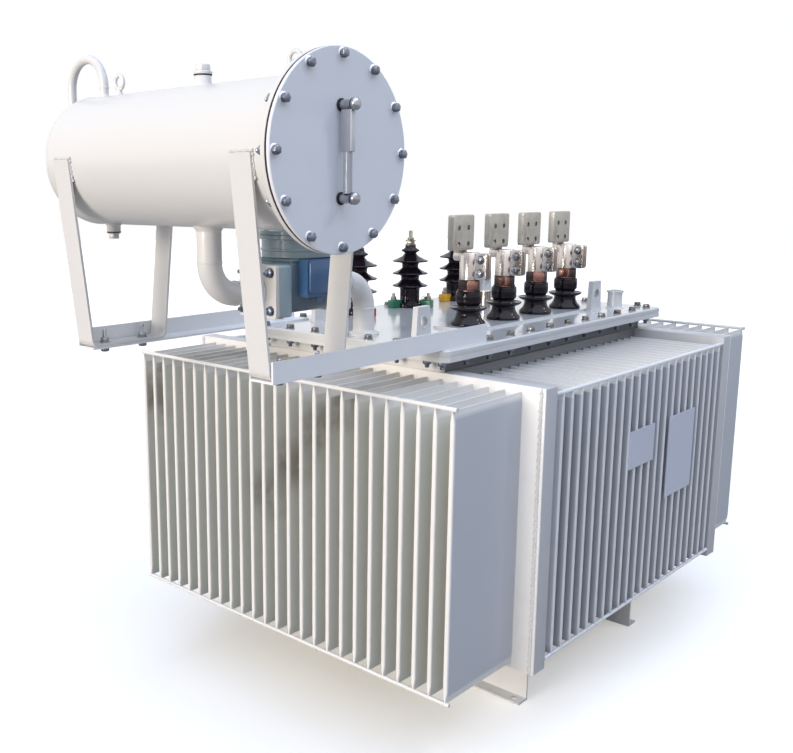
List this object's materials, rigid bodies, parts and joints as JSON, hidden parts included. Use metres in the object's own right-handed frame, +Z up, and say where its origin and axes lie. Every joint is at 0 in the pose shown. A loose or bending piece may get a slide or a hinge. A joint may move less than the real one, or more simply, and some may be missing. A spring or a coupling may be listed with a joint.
{
  "type": "power transformer",
  "caption": "Oil-filled power transformer with corrugated tank walls, an end-mounted conservator on straps, a gas relay, and low-voltage and high-voltage bushings on its cover.",
  "frame": {"origin": "On the ground, at the centre of the four foundation bolt holes in the skids.", "axes": "+X along the tank, away from the conservator end. +Y from the low-voltage side to the high-voltage side. +Z up."},
  "size_m": [2.0979, 1.213, 1.7137],
  "materials": {
    "tank_paint": "satin grey paint",
    "porcelain": "glazed porcelain, nearly black",
    "terminal": "nickel plate, satin",
    "copper": "aged copper alloy",
    "relay": "grey-green cast metal",
    "relay_box": "blue paint",
    "rubber": "matt black",
    "gauge": "grey, with a clear tube",
    "red_clamp": "red paint",
    "green_clamp": "green paint",
    "yellow_clamp": "yellow paint"
  },
  "bodies": {
    "root": {"tank_shell": "tank_paint", "tank_flange": "tank_paint", "tank_cover": "tank_paint", "end_wings_left": "tank_paint", "end_wings_right": "tank_paint", "fin_bank_left": "tank_paint", "fin_bank_right": "tank_paint", "fin_bank_front": "tank_paint", "fin_bank_rear": "tank_paint", "skid_left": "tank_paint", "skid_right": "tank_paint", "blank_plates": "tank_paint", "conservator_shell": "tank_paint", "conservator_end_plate": "tank_paint", "filler_cap": "tank_paint", "drain_plug": "tank_paint", "breather_pipe": "tank_paint", "strap_front": "tank_paint", "strap_rear": "tank_paint", "beam_front": "tank_paint", "beam_rear": "tank_paint", "oil_pipe_upper": "tank_paint", "oil_pipe_lower": "tank_paint", "lifting_lugs": "tank_paint", "filling_stub": "tank_paint", "thermometer_pocket": "terminal", "cover_gasket": "rubber", "conservator_gasket": "rubber", "level_gauge": "gauge", "relay_body": "relay", "relay_terminal_box": "relay_box", "lv_porcelain_1": "porcelain", "lv_porcelain_2": "porcelain", "lv_porcelain_3": "porcelain", "lv_porcelain_4": "porcelain", "hv_porcelain_1": "porcelain", "hv_porcelain_2": "porcelain", "hv_porcelain_3": "porcelain", "lv_terminal_1": "terminal", "lv_terminal_2": "terminal", "lv_terminal_3": "terminal", "lv_terminal_4": "terminal", "hv_studs": "terminal", "lv_nuts": "copper", "hv_clamps_1": "red_clamp", "hv_clamps_2": "green_clamp", "hv_clamps_3": "yellow_clamp"}
  },
  "joints": []
}
